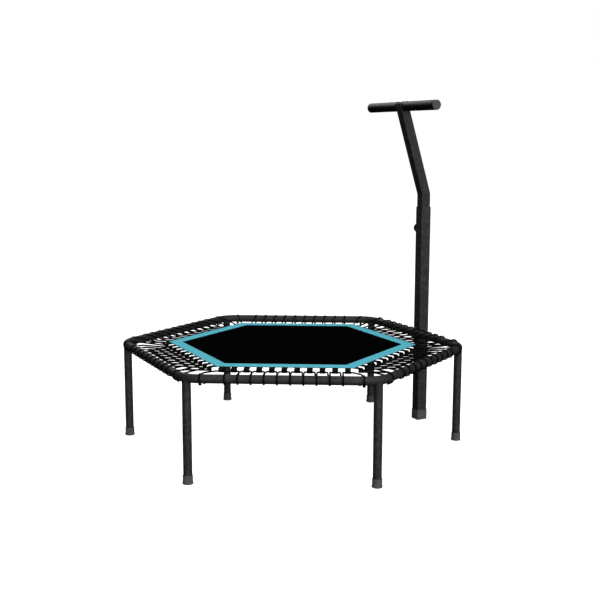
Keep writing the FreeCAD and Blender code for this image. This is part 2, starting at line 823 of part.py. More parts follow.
def rope_route(side):
    """Knotted under the tube, over it to the first tab, then from tab to tab under, round and over the tube."""
    over, under = tangent_angles()
    below = -math.pi / 2
    end = straight_half.value
    last_tab = tab_pitch.value * (TABS - 1) / 2
    pitch = tab_pitch.value
    tab_x, tab_z, bend = loop_radius.value, loop_height.value, rope_bend.value
    under_tube = frame_height.value - turn_radius.value
    route = Route()
    route.add(apothem.value - 2, -end, under_tube)
    route.turn_round_tube(below, over, -end, TURN_STEPS - 1)
    route.add(tab_x, -(last_tab + ROUND_TAB), tab_z, bend)
    for tab in range(TABS - 1):
        middle = tab * pitch - last_tab
        start, finish = middle + ROUND_TAB, middle + pitch - ROUND_TAB
        turn = middle + pitch - TURN_TO_TAB[side]
        if side == 0 and abs(turn) < POST_WRAP:
            turn = math.copysign(POST_WRAP, turn)
        route.add(tab_x, start, tab_z, bend)
        route.turn_round_tube(under, over, turn, TURN_STEPS)
        route.add(tab_x, finish, tab_z, bend)
    route.add(tab_x, last_tab + ROUND_TAB, tab_z, bend)
    route.turn_round_tube(over, below, end, TURN_STEPS - 1)
    route.add(apothem.value - 2, end, under_tube)
    return route


def bungee_rope(side):
    """One rope laces one side and ends in a knot under each end of it."""
    wire, tightest = rope_route(side).wire()
    start = wire.Edges[0]
    place, direction = start.valueAt(start.FirstParameter), start.tangentAt(start.FirstParameter)
    section = Part.Wire([Part.Circle(place, direction, rope_d.value / 2).toShape()])
    rope = wire.makePipeShell([section], True, False)
    expected = math.pi * rope_d.value**2 / 4 * wire.Length
    if abs(rope.Volume / expected - 1) > 0.005:
        raise ValueError(f"rope {side + 1} has {rope.Volume:.0f} mm3 and should have {expected:.0f}")
    knot_z = frame_height.value - tube_od.value / 2 - rope_gap.value - knot_d.value / 2
    knots = []
    for end in (-1, 1):
        knots.append(Part.makeSphere(knot_d.value / 2, Vector(apothem.value - 2, end * straight_half.value, knot_z)))
    made = document.addObject("Part::Feature", f"bungee_rope_{side + 1}")
    made.Shape = rope.fuse(knots)
    made.Placement = side_frame(side)
    print(f"{made.Label}: {wire.Length:.0f} mm long, tightest radius {tightest:.1f} mm")
    return made


# ---------------------------------------------------------------- assembly
def assembly():
    parts = []
    for place in SIDES:
        parts += [corner_elbow(place), side_tube(place), leg(place), foot(place)]
        parts += [mat_tabs(place), bungee_rope(place)]
    parts += [frame_screws(), *leg_fittings()]
    parts += [post(), post_foot(), u_bolt(), *u_bolt_fastening()]
    parts += [stem(), *stem_plugs(), *handlebar(), *clamp()]
    parts += [jump_mat(), mat_border()]
    return parts


def check(parts):
    document.recompute()
    for item in document.Objects:
        if "Invalid" in item.State or "Error" in item.State:
            raise ValueError(f"{item.Label} is {item.State}")
    for part in parts:
        if part.Shape.isNull() or not part.Shape.isValid() or not part.Shape.Solids:
            raise ValueError(f"{part.Label} has no valid shape")
    if len({part.Label for part in parts}) != len(parts):
        raise ValueError("two parts have the same label")


nodes = assembly()
check(nodes)
os.makedirs("parts", exist_ok=True)
for node in nodes:
    node.Shape.exportStep(f"parts/{node.Label}.step")
print(f"{len(nodes)} nodes, {sum(len(node.Shape.Solids) for node in nodes)} solids")
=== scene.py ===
"""Looks of the hexagonal mini trampoline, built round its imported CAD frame. Metres, +Z up."""
import math

import bpy
import numpy as np
from mathutils import Matrix, Vector


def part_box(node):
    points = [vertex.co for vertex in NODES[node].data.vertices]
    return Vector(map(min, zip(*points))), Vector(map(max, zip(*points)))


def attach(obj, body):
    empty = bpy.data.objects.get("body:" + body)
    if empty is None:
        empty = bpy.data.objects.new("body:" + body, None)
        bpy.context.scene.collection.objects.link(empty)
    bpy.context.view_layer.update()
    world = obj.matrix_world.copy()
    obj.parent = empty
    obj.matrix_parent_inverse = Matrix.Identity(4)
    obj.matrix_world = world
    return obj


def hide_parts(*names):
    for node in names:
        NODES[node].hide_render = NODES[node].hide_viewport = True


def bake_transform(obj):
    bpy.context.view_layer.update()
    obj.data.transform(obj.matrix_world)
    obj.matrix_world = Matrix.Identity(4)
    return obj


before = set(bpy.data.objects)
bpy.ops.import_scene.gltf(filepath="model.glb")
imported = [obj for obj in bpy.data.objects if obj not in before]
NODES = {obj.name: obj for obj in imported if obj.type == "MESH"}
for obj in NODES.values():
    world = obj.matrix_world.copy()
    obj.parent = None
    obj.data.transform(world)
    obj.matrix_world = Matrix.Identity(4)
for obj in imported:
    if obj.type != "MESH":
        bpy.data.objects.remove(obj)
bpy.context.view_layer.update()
SIDES = range(6)
COS_30, TAN_30 = math.cos(math.pi / 6), math.tan(math.pi / 6)
rng = np.random.default_rng(7)


def span(node, axis):
    """The lowest and highest place of a CAD node along X, Y or Z."""
    return [corner["XYZ".index(axis)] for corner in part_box(node)]


def tenth(length):
    """To 0.1 mm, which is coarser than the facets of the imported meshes."""
    return round(float(length), 4)


# sizes in metres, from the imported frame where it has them; its nodes numbered 2 are on the side that faces +Y
TUBE_R = tenth(np.ptp(span("side_tube_2", "Y")) / 2)
TUBE_Z = tenth(np.mean(span("side_tube_2", "Z")))
LEG_CIRCLE = tenth(np.mean(span("leg_1", "X")))  # radius of the circle through the legs
BEND_R = 0.092  # of the corner elbows' centrelines
APOTHEM = (LEG_CIRCLE + BEND_R * (1 / COS_30 - 1)) * COS_30  # of the side tubes' centrelines
STRAIGHT_HALF = APOTHEM * TAN_30 - BEND_R * TAN_30
MAT_LOW, MAT_TOP = (tenth(z) for z in span("jump_mat", "Z"))
MAT_APOTHEM = tenth(span("jump_mat", "Y")[1])
BORDER_TOP = tenth(span("mat_border", "Z")[1])
BORDER_IN = tenth(MAT_APOTHEM - 0.0434)  # its inner edge, square to a side
TABS, TAB_W, TAB_THICK = 11, 0.020, 0.00138
TAB_PITCH = tenth((span("mat_tabs_2", "X")[1] - TAB_W / 2) / (TABS - 1) * 2)
ROPE_R = 0.003
LOOP_R, LOOP_Z = 0.4165, 0.352  # the rope's place in the tabs
ROPE_GAP = 0.0003  # between the rope and the tube it is wound on
WRAP_R = TUBE_R + ROPE_R + ROPE_GAP
KNOT_IN = 0.002  # how far inside the tube's centreline the knots lie
ROUND_TAB = 0.0168  # from a tab's middle to where the rope turns away
POST_WRAP = 0.025  # the nearest that a turn comes to the post's middle
TURN_TO_TAB = (0.015, 0.0273, 0.015, 0.015, 0.015, 0.015)  # from each side's turns to the next tab
FLATTENED = (0.85, 0.3, 0.3, 0.6, 0.6, 0.8)  # how thick each side's rope still is where it lies on the tube

# the camera, fitted to the photograph
YAW, PITCH, ROLL = (math.radians(a) for a in (-2.8021, 9.1553, 0.1052))
CAMERA_PLACE, LENS, SENSOR = (0.2099, -3.6498, 1.1169), 59.740, 36

# light: where the room is bright, how its brightness runs with the cosine to there, and the softboxes
BRIGHT_SIDE = (0.50, -0.85, 0.15)
ROOM_LEVELS = (-0.05, 1.0, 0.004, 0.80)
KEY_WATTS, TOP_WATTS, FRONT_WATTS, RIM_WATTS = 17, 60, 44, 44


# ---------------------------------------------------------------- camera and light
def camera():
    forward = Vector((math.sin(YAW) * math.cos(PITCH), math.cos(YAW) * math.cos(PITCH), -math.sin(PITCH)))
    level = Vector((math.cos(YAW), -math.sin(YAW), 0))
    lift = level.cross(forward)
    right = level * math.cos(ROLL) + lift * math.sin(ROLL)
    up = right.cross(forward)
    data = bpy.data.cameras.new("camera")
    data.sensor_width = SENSOR
    data.lens = LENS
    data.clip_start, data.clip_end = 0.05, 60
    made = bpy.data.objects.new("camera", data)
    bpy.context.scene.collection.objects.link(made)
    turn = Matrix((right, up, -forward)).transposed()
    made.matrix_world = Matrix.Translation(CAMERA_PLACE) @ turn.to_4x4()
    bpy.context.scene.camera = made


def softbox(name, place, target, size, watts):
    """A rectangular light that faces its target."""
    data = bpy.data.lights.new(name, "AREA")
    data.shape = "RECTANGLE"
    data.size, data.size_y = size
    data.energy = watts
    made = bpy.data.objects.new(name, data)
    made.location = place
    made.rotation_euler = (Vector(target) - Vector(place)).to_track_quat("-Z", "Y").to_euler()
    bpy.context.scene.collection.objects.link(made)


def studio():
    """White to the camera, while the object sees a large soft light in front and dark on the left."""
    scene = bpy.context.scene
    scene.view_settings.view_transform = "Standard"
    scene.view_settings.look = "None"
    world = bpy.data.worlds.new("studio")
    world.use_nodes = True
    tree = world.node_tree
    white = tree.nodes["Background"]
    white.inputs["Color"].default_value = (1, 1, 1, 1)
    white.inputs["Strength"].default_value = 1.0
    room = tree.nodes.new("ShaderNodeBackground")
    direction = tree.nodes.new("ShaderNodeTexCoord")
    facing = tree.nodes.new("ShaderNodeVectorMath")
    facing.operation = "DOT_PRODUCT"
    facing.inputs[1].default_value = Vector(BRIGHT_SIDE).normalized()
    level = tree.nodes.new("ShaderNodeMapRange")
    level.interpolation_type = "SMOOTHSTEP"
    for name, value in zip(("From Min", "From Max", "To Min", "To Max"), ROOM_LEVELS):
        level.inputs[name].default_value = value
    seen = tree.nodes.new("ShaderNodeLightPath")
    mixed = tree.nodes.new("ShaderNodeMixShader")
    tree.links.new(direction.outputs["Generated"], facing.inputs[0])
    tree.links.new(facing.outputs["Value"], level.inputs["Value"])
    tree.links.new(level.outputs["Result"], room.inputs["Strength"])
    tree.links.new(seen.outputs["Is Camera Ray"], mixed.inputs["Fac"])
    tree.links.new(room.outputs["Background"], mixed.inputs[1])
    tree.links.new(white.outputs["Background"], mixed.inputs[2])
    tree.links.new(mixed.outputs["Shader"], tree.nodes["World Output"].inputs["Surface"])
    scene.world = world
    softbox("key", (2.6, -2.8, 2.0), (0.1, 0, 0.5), (2.0, 1.6), KEY_WATTS)
    softbox("top", (0.3, -0.8, 3.6), (0.2, -0.3, 0.4), (4.0, 5.0), TOP_WATTS)
    softbox("front", (0.7, -4.4, 2.3), (0.1, 0, 0.4), (1.6, 0.8), FRONT_WATTS)
    softbox("rim", (-1.6, 3.9, 3.2), (0.45, 0.26, 1.1), (3.0, 2.2), RIM_WATTS)
    mesh = bpy.data.meshes.new("studio_floor")
    mesh.from_pydata([(-14, -10, 0), (14, -10, 0), (14, 22, 0), (-14, 22, 0)], [], [(0, 1, 2, 3)])
    floor = bpy.data.objects.new("studio_floor", mesh)
    floor.location.z = -0.0004
    floor.visible_diffuse = False
    floor.visible_glossy = False
    scene.collection.objects.link(floor)
    mat = Surface("studio_paper", (0.93, 0.93, 0.93), 0.9)
    mat.put("Emission Color", (1, 1, 1, 1))
    mat.put("Emission Strength", 0.95)
    mat.bump(mat.noise(300, 3), 0.05, 0.0002)
    mesh.materials.append(mat.done())


# ---------------------------------------------------------------- materials
class Surface:
    """A procedural material made of small steps on one Principled shader."""

    def __init__(self, name, color, roughness, metallic=0.0, specular=0.5, space="Object"):
        self.material = bpy.data.materials.new(name)
        self.material.use_nodes = True
        self.tree = self.material.node_tree
        self.shader = self.tree.nodes["Principled BSDF"]
        self.put("Base Color", (*color, 1))
        self.put("Roughness", roughness)
        self.put("Metallic", metallic)
        self.put("Specular IOR Level", specular)
        self.place = self.node("ShaderNodeTexCoord").outputs[space]
        self.normal = None

    def node(self, kind, **settings):
        made = self.tree.nodes.new(kind)
        for key, value in settings.items():
            setattr(made, key, value)
        return made

    def put(self, socket, value):
        self.shader.inputs[socket].default_value = value

    def link(self, source, target):
        """The target takes a socket's value, or a plain number."""
        if hasattr(source, "is_output"):
            self.tree.links.new(source, target)
        else:
            target.default_value = source

    def math(self, operation, *values):
        made = self.node("ShaderNodeMath", operation=operation)
        for value, socket in zip(values, made.inputs):
            self.link(value, socket)
        return made.outputs[0]

    def noise(self, scale, detail, rough=0.5):
        made = self.node("ShaderNodeTexNoise")
        made.inputs["Scale"].default_value = scale
        made.inputs["Detail"].default_value = detail
        made.inputs["Roughness"].default_value = rough
        self.link(self.place, made.inputs["Vector"])
        return made.outputs["Fac"]

    def cells(self, scale):
        made = self.node("ShaderNodeTexVoronoi")
        made.inputs["Scale"].default_value = scale
        self.link(self.place, made.inputs["Vector"])
        return made.outputs["Distance"]

    def parts(self):
        """The x, y and z of the place on the surface."""
        made = self.node("ShaderNodeSeparateXYZ")
        self.link(self.place, made.inputs[0])
        return made.outputs

    def spread(self, value, low, high, to_low=0.0, to_high=1.0):
        """From low to high becomes from to_low to to_high."""
        made = self.node("ShaderNodeMapRange")
        for key, number in (("From Min", low), ("From Max", high), ("To Min", to_low), ("To Max", to_high)):
            made.inputs[key].default_value = number
        self.link(value, made.inputs["Value"])
        return made.outputs[0]

    def blend_color(self, share, low, high):
        """The base colour goes from low to high with share."""
        made = self.node("ShaderNodeMix", data_type="RGBA")
        self.link(share, made.inputs["Factor"])
        for socket, color in (("A", low), ("B", high)):
            next(s for s in made.inputs if s.name == socket and s.type == "RGBA").default_value = (*color, 1)
        out = next(s for s in made.outputs if s.type == "RGBA")
        self.link(out, self.shader.inputs["Base Color"])
        return out

    def over(self, under, share, color):
        """The base colour goes from the colour under it to this one with share."""
        made = self.node("ShaderNodeMix", data_type="RGBA")
        self.link(share, made.inputs["Factor"])
        sockets = [s for s in made.inputs if s.type == "RGBA"]
        self.link(under, sockets[0])
        sockets[1].default_value = (*color, 1)
        self.link(next(s for s in made.outputs if s.type == "RGBA"), self.shader.inputs["Base Color"])

    def roughness(self, share, low, high):
        self.link(self.spread(share, 0.25, 0.75, low, high), self.shader.inputs["Roughness"])

    def bump(self, height, strength, distance):
        made = self.node("ShaderNodeBump")
        made.inputs["Strength"].default_value = strength
        made.inputs["Distance"].default_value = distance
        self.link(height, made.inputs["Height"])
        if self.normal is not None:
            self.link(self.normal, made.inputs["Normal"])
        self.normal = made.outputs[0]

    def done(self):
        if self.normal is not None:
            self.link(self.normal, self.shader.inputs["Normal"])
        return self.material


def tinted(color, factor):
    return tuple(min(1.0, c * factor) for c in color)


def powder_coat(name, color=(0.021, 0.021, 0.0215)):
    """Satin black powder coat: fine orange peel, a slight cloud in the colour, edges rubbed lighter."""
    s = Surface(name, color, 0.5, specular=0.3)
    cloud = s.noise(9, 4)
    base = s.blend_color(s.spread(cloud, 0.3, 0.7), tinted(color, 0.86), tinted(color, 1.12))
    edge = s.node("ShaderNodeNewGeometry").outputs["Pointiness"]
    worn = s.math("MULTIPLY", s.spread(edge, 0.53, 0.60), s.spread(s.noise(60, 5), 0.45, 0.7))
    s.over(base, s.math("MULTIPLY", worn, 0.35), (0.10, 0.10, 0.10))
    s.roughness(s.noise(30, 3), 0.46, 0.60)
    s.bump(s.noise(850, 2), 0.16, 0.0004)
    s.bump(s.noise(2600, 2), 0.10, 0.0002)
    return s.done()


def rubber(name, color=(0.10, 0.10, 0.10)):
    """Moulded rubber with a fine texture and dust near the floor."""
    s = Surface(name, color, 0.75, specular=0.3)
    base = s.blend_color(s.spread(s.noise(45, 5), 0.3, 0.7), tinted(color, 0.85), tinted(color, 1.12))
    height = s.parts()[2]
    dust = s.math("MULTIPLY", s.spread(height, 0.006, 0.0), s.spread(s.noise(120, 4), 0.35, 0.7))
    s.over(base, s.math("MULTIPLY", dust, 0.5), (0.22, 0.21, 0.20))
    s.roughness(s.noise(90, 3), 0.68, 0.86)
    s.bump(s.noise(1500, 3), 0.25, 0.0004)
    return s.done()


def plastic(name, color, rough=0.45):
    """Moulded plastic with a spark-eroded grain."""
    s = Surface(name, color, rough, specular=0.4)
    s.blend_color(s.spread(s.noise(25, 3), 0.3, 0.7), tinted(color, 0.88), tinted(color, 1.12))
    s.roughness(s.noise(200, 3), rough - 0.06, rough + 0.10)
    s.bump(s.noise(1800, 4, rough=0.65), 0.2, 0.0003)
    return s.done()


def steel(name, color=(0.50, 0.50, 0.49)):
    """Zinc-plated steel: faint spangle and a fine bump."""
    s = Surface(name, color, 0.35, metallic=1.0)
    s.blend_color(s.spread(s.noise(260, 3), 0.3, 0.7), tinted(color, 0.8), tinted(color, 1.1))
    s.roughness(s.noise(500, 3), 0.28, 0.46)
    s.bump(s.noise(2400, 2), 0.1, 0.0002)
    return s.done()


def foam(name, color=(0.004, 0.004, 0.004)):
    """Closed-cell foam: a dark skin of tiny cells that catches a soft light."""
    s = Surface(name, color, 0.45, specular=0.45)
    s.blend_color(s.spread(s.noise(70, 5), 0.3, 0.7), tinted(color, 0.7), tinted(color, 1.4))
    s.roughness(s.noise(160, 3), 0.36, 0.48)
    s.bump(s.cells(1700), 0.25, 0.0003)
    s.bump(s.noise(500, 3), 0.15, 0.0004)
    return s.done()


def woven(name, color, pitch, rough, relief, gloss=0.35, contrast=(0.72, 1.22)):
    """Plain weave on UV coordinates in metres: warp and weft pass over each other in a chequer."""
    s = Surface(name, color, rough, specular=gloss, space="UV")
    u, v, _ = s.parts()
    turn = math.pi / pitch
    across = s.math("SINE", s.math("MULTIPLY", u, turn))
    along = s.math("SINE", s.math("MULTIPLY", v, turn))
    chequer = s.math("MULTIPLY", across, along)
    warp_top = s.spread(chequer, -0.12, 0.12)
    ridge_u, ridge_v = s.math("ABSOLUTE", across), s.math("ABSOLUTE", along)
    warp, weft = (
        s.math("MULTIPLY", s.math("POWER", ridge, 0.5), s.math("ADD", s.math("MULTIPLY", dip, 0.6), 0.4))
        for ridge, dip in ((ridge_u, ridge_v), (ridge_v, ridge_u))
    )
    mixed = s.node("ShaderNodeMix", data_type="FLOAT")
    floats = [socket for socket in mixed.inputs if socket.type == "VALUE"]
    s.link(warp_top, floats[0])
    s.link(weft, floats[1])
    s.link(warp, floats[2])
    height = next(socket for socket in mixed.outputs if socket.type == "VALUE")
    # the colour is darker where the weave dips, which is painted shade, plus a random tone from the noise
    painted_shade_and_tone = s.math("ADD", s.math("MULTIPLY", height, 0.7), s.math("MULTIPLY", s.noise(40, 5), 0.45))
    s.blend_color(s.spread(painted_shade_and_tone, 0.2, 1.1), tinted(color, contrast[0]), tinted(color, contrast[1]))
    s.roughness(s.noise(120, 3), rough - 0.06, rough + 0.08)
    s.bump(height, relief, pitch * 0.35)
    s.bump(s.noise(1600, 3), 0.15, 0.0003)
    return s.done()


def braided(name, color, strands=8, lay=0.0062):
    """Braided sheath on UV coordinates: u once round the rope, v along it in metres."""
    s = Surface(name, color, 0.65, specular=0.1, space="UV")
    u, v, _ = s.parts()
    around = s.math("MULTIPLY", u, math.pi * strands)
    along = s.math("MULTIPLY", v, math.pi / lay * 2)
    one = s.math("ABSOLUTE", s.math("SINE", s.math("ADD", around, along)))
    two = s.math("ABSOLUTE", s.math("SINE", s.math("SUBTRACT", around, along)))
    height = s.math("POWER", s.math("MULTIPLY", one, two), 0.5)
    fleck = s.math("GREATER_THAN", s.noise(900, 2), 0.70)
    # the colour is darker in the grooves between the strands, which is painted shade
    base = s.blend_color(s.spread(height, 0.1, 1.0), tinted(color, 0.55), tinted(color, 1.3))
    s.over(base, s.math("MULTIPLY", fleck, 0.12), tinted(color, 4))
    s.roughness(s.noise(300, 3), 0.55, 0.75)
    s.bump(height, 0.6, 0.0005)
    return s.done()


# ---------------------------------------------------------------- mesh helpers
def side_matrix(side):
    return Matrix.Rotation(math.radians(30 + 60 * side), 4, "Z")


def corner_matrix(corner):
    return Matrix.Rotation(math.radians(60 * corner), 4, "Z")


class Builder:
    """Collects meshes into one object; a face is its points' numbers and the numbers of its UVs."""

    def __init__(self):
        self.points = []
        self.faces = []
        self.uvs = []
        self.slots = []
        self.count = 0

    def add(self, points, faces, uvs, slot=0):
        points = np.asarray(points, float).reshape(-1, 3)
        uvs = np.asarray(uvs, float).reshape(-1, 2)
        for face in faces:
            self.faces.append([i + self.count for i in face[0]])
            self.uvs.extend(uvs[j] for j in face[1])
            self.slots.append(slot)
        self.points.append(points)
        self.count += len(points)

    def take(self, other, shift):
        """All that another builder holds, moved by shift."""
        points = np.concatenate(other.points) + np.array(shift)
        self.points.append(points)
        self.faces += [[i + self.count for i in face] for face in other.faces]
        self.uvs += other.uvs
        self.slots += other.slots
        self.count += len(points)

    def tube(self, rings, closed=False, slot=0, round_length=1.0):
        """Rings of equal point count, each round its own loop, skinned one to the next.
        UV is 0 to round_length round the ring, and metres along the rings."""
        rings = np.asarray(rings, float)
        n, m = rings.shape[:2]
        w = m + 1  # UVs of one ring, its first point twice
        steps = np.linalg.norm(np.diff(rings.mean(1), axis=0), axis=1)
        along = np.concatenate([[0], np.cumsum(steps)])
        uv = [[(j / m * round_length, along[i]) for j in range(w)] for i in range(n)]
        faces = []
        for i in range(n if closed else n - 1):
            k = (i + 1) % n
            for j in range(m):
                l = (j + 1) % m
                faces.append(([i * m + j, i * m + l, k * m + l, k * m + j],
                              [i * w + j, i * w + j + 1, k * w + j + 1, k * w + j]))
        if not closed:
            first = list(range(m))[::-1]
            faces.append((first, first))
            faces.append(([(n - 1) * m + j for j in range(m)], [(n - 1) * w + j for j in range(m)]))
        self.add(rings, faces, uv, slot)

    def finish(self, name, materials, matrix=None, sharp=40):
        """The object, smooth but for edges sharper than so many degrees."""
        mesh = bpy.data.meshes.new(name)
        points = np.concatenate(self.points)
        mesh.from_pydata(points.tolist(), [], self.faces)
        layer = mesh.uv_layers.new(name="UVMap")
        layer.data.foreach_set("uv", np.asarray(self.uvs, np.float32).ravel())
        mesh.polygons.foreach_set("material_index", np.asarray(self.slots, np.int32))
        mesh.polygons.foreach_set("use_smooth", [True] * len(mesh.polygons))
        for material in materials:
            mesh.materials.append(material)
        if matrix is not None:
            mesh.transform(matrix)
        if sharp:
            mesh.set_sharp_from_angle(angle=math.radians(sharp))
        mesh.update()
        made = bpy.data.objects.new(name, mesh)
        bpy.context.scene.collection.objects.link(made)
        return made


def normals_along(points):
    """Two normals to a line at each of its points, carried along without twist."""
    points = np.asarray(points, float)
    tangents = np.gradient(points, axis=0)
    tangents /= np.linalg.norm(tangents, axis=1)[:, None]
    start = np.array([0, 0, 1.0]) if abs(tangents[0][2]) < 0.9 else np.array([1.0, 0, 0])
    normal = start - tangents[0] * (start @ tangents[0])
    normal /= np.linalg.norm(normal)
    normals = []
    for tangent in tangents:
        normal = normal - tangent * (normal @ tangent)
        normal /= np.linalg.norm(normal)
        normals.append(normal)
    normals = np.array(normals)
    return normals, np.cross(tangents, normals)


def round_rings(points, radius, sides=12):
    """Circles square to a line of points; radius is a number or one for each point."""
    points = np.asarray(points, float)
    one, two = normals_along(points)
    radius = np.broadcast_to(np.asarray(radius, float), (len(points),))
    angles = np.arange(sides) / sides * math.tau
    return (
        points[:, None]
        + radius[:, None, None] * np.cos(angles)[None, :, None] * one[:, None]
        + radius[:, None, None] * np.sin(angles)[None, :, None] * two[:, None]
    )


def spline(points, resolution):
    """Points along a smooth NURBS line with the given control points."""
    data = bpy.data.curves.new("line", "CURVE")
    data.dimensions = "3D"
    data.resolution_u = resolution
    line = data.splines.new("NURBS")
    line.points.add(len(points) - 1)
    for place, point in zip(line.points, points):
        place.co = (*point, 1)
    line.order_u = 3
    line.use_endpoint_u = True
    holder = bpy.data.objects.new("line", data)
    bpy.context.scene.collection.objects.link(holder)
    mesh = bpy.data.meshes.new_from_object(holder)
    found = np.array([v.co for v in mesh.vertices], float)
    bpy.data.objects.remove(holder)
    bpy.data.meshes.remove(mesh)
    bpy.data.curves.remove(data)
    return found


# ---------------------------------------------------------------- bungee ropes
def strand_angles():
    """Where a straight run from a tab touches the tube's top, and its underside."""
    x, z = LOOP_R - APOTHEM, LOOP_Z - TUBE_Z
    middle, spread = math.atan2(z, x) % math.tau, math.acos(WRAP_R / math.hypot(x, z))
    return middle - spread, middle + spread - math.tau


def rope_line(side):
    """Control points: knotted under the tube, up over it, then from tab to tab under and over the tube."""
    over, under = strand_angles()
    end = STRAIGHT_HALF
    last_tab = TAB_PITCH * (TABS - 1) / 2
    by_tab, by_tube, in_tab = 0.009, 0.010, 0.006  # from a run's ends, and from a tab's middle
    half_turn, whole_turn = 5, 6  # control points of a turn at a knot, and of one between tabs
    line = []

    def turn(first, last, y, steps):
        """Round the tube, with the control points just outside the rope's centreline."""
        step = (last - first) / steps
        reach = WRAP_R / math.cos(step / 2)
        for i in range(steps):
            angle = first + step * (i + 0.5)
            line.append((APOTHEM + reach * math.cos(angle), y, TUBE_Z + reach * math.sin(angle)))

    def strand(a, b, near_a, near_b):
        """Two points on a tight run, each so far from its own end."""
        a, b = Vector(a), Vector(b)
        run = (b - a).normalized()
        line.append(tuple(a + run * near_a))
        line.append(tuple(b - run * near_b))

    def leave_tab(y, at, touch, towards):
        """From a tab's side to where the rope touches the tube."""
        corner = (LOOP_R, y, LOOP_Z)
        line.append(corner)
        step = (towards - touch) / whole_turn / 2
        reach = WRAP_R / math.cos(step)
        first = (APOTHEM + reach * math.cos(touch + step), at, TUBE_Z + reach * math.sin(touch + step))
        strand(corner, first, by_tab, by_tube)

    def reach_tab(y):
        corner = (LOOP_R, y, LOOP_Z)
        strand(line[-1], corner, by_tube, by_tab)
        line.append(corner)

    def through_tab(middle):
        line.append((LOOP_R, middle - in_tab, LOOP_Z))
        line.append((LOOP_R, middle + in_tab, LOOP_Z))

    line.append((APOTHEM - KNOT_IN, -end, TUBE_Z - WRAP_R))
    turn(-math.pi / 2, over, -end, half_turn)
    reach_tab(-last_tab - ROUND_TAB)
    for tab in range(TABS - 1):
        middle = tab * TAB_PITCH - last_tab
        at = middle + TAB_PITCH - TURN_TO_TAB[side]
        if side == 0 and abs(at) < POST_WRAP:
            at = math.copysign(POST_WRAP, at)
        through_tab(middle)
        leave_tab(middle + ROUND_TAB, at, under, over)
        turn(under, over, at, whole_turn)
        reach_tab(middle + TAB_PITCH - ROUND_TAB)
    through_tab(last_tab)
    leave_tab(last_tab + ROUND_TAB, end, over, under)
    turn(over, -math.pi / 2, end, half_turn)
    line.append((APOTHEM - KNOT_IN, end, TUBE_Z - WRAP_R))
    return line


def pressed_on_tube(rings, flattened):
    """A tight rope is flattened and a little wider where it lies on the tube, and round away from it."""
    flat_to, round_from, widening = TUBE_R + 2 * ROPE_R + ROPE_GAP, TUBE_R + 0.020, 0.3
    middle = rings.mean(axis=1, keepdims=True)
    x, z = rings[..., 0] - APOTHEM, rings[..., 2] - TUBE_Z
    far = np.hypot(x, z)
    share = np.clip((far - flat_to) / (round_from - flat_to), 0, 1)
    keep = flattened + (1 - flattened) * share**2 * (3 - 2 * share)
    near = TUBE_R + ROPE_GAP
    scale = np.where(far > near, (near + (far - near) * keep) / np.maximum(far, 1e-6), 1.0)
    wider = 1 + widening * (1 - keep)
    return np.stack([APOTHEM + x * scale, middle[..., 1] + (rings[..., 1] - middle[..., 1]) * wider,
                     TUBE_Z + z * scale], axis=2)


def knot_line(centre, size, turn):
    """A tight overhand knot, pulled flat against the tube."""
    points = []
    count = 72
    for i in range(count):
        t = i / count * math.tau
        x, y = math.sin(t) + 2 * math.sin(2 * t), math.cos(t) - 2 * math.cos(2 * t)
        place = Vector((x, y, -1.1 * math.sin(3 * t)))
        place.rotate(Matrix.Rotation(turn, 3, "Z"))
        points.append(centre + place * size)
    return points


KNOT_Z, KNOT_SIZE, KNOT_ROPE_R = 0.3379, 0.00125, 0.0023
KNOT_TAIL = ((-0.001, 0, 0), (-0.004, 0, 0.001), (-0.007, 0, 0.002), (-0.010, 0, 0.002))  # from its middle
TAIL_RADII = 0.0029, 0.0025


def ropes(material):
    for side in SIDES:
        made = Builder()
        line = spline(rope_line(side), 7)
        made.tube(pressed_on_tube(round_rings(line, ROPE_R, 12), FLATTENED[side]))
        for end in (-1, 1):
            centre = Vector((APOTHEM - KNOT_IN, end * STRAIGHT_HALF, KNOT_Z))
            knot = knot_line(centre, KNOT_SIZE, 0.7 * side + end)
            made.tube(round_rings(knot, KNOT_ROPE_R, 10), closed=True)
            tail = spline([centre + Vector(point) for point in KNOT_TAIL], 8)
            made.tube(round_rings(tail, np.linspace(*TAIL_RADII, len(tail)), 10))
        piece = made.finish(f"bungee_{side + 1}", [material], side_matrix(side))
        drop_with_mat(piece)
        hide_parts(f"bungee_rope_{side + 1}")


def drop_with_mat(piece):
    """Bakes the piece's placement into its mesh."""
    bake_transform(piece)


# ---------------------------------------------------------------- tabs
def ribbon(made, centre, width, thick, shifts):
    """A strap of webbing with thinner selvedges along centre, a line of (x, z), moved in y by shifts."""
    places = (-1, -0.93, -0.5, 0, 0.5, 0.93, 1)
    selvedge = 0.45
    centre = np.asarray(centre, float)
    tangent = np.gradient(centre, axis=0)
    tangent /= np.linalg.norm(tangent, axis=1)[:, None]
    out = np.stack([-tangent[:, 1], tangent[:, 0]], 1)
    half = thick / 2
    rings = []
    for middle, square, shift in zip(centre, out, shifts):
        ring = []
        for sign, row in ((1, places), (-1, places[::-1])):
            for p in row:
                edge = selvedge if abs(p) == 1 else 1.0
                offset = middle + square * half * sign * edge
                ring.append((offset[0], p * width / 2 + shift, offset[1]))
        rings.append(ring)
    n, m = len(rings), 2 * len(places)
    w = m + 1
    along = np.concatenate([[0], np.cumsum(np.linalg.norm(np.diff(centre, axis=0), axis=1))])
    across = [p * width / 2 for p in places] + [p * width / 2 for p in places[::-1]]
    uv = [[(across[j % m], along[i]) for j in range(w)] for i in range(n)]
    faces = []
    for i in range(n - 1):
        for j in range(m):
            l = (j + 1) % m
            faces.append(([i * m + j, i * m + l, (i + 1) * m + l, (i + 1) * m + j],
                          [i * w + j, i * w + l, (i + 1) * w + l, (i + 1) * w + j]))
    for i, back in ((0, False), (n - 1, True)):
        for j in range(len(places) - 1):
            corners = (j, j + 1, m - 2 - j, m - 1 - j)
            quad, spots = [i * m + c for c in corners], [i * w + c for c in corners]
            if not back:
                quad, spots = quad[::-1], spots[::-1]
            faces.append((quad, spots))
    made.add(rings, faces, uv)


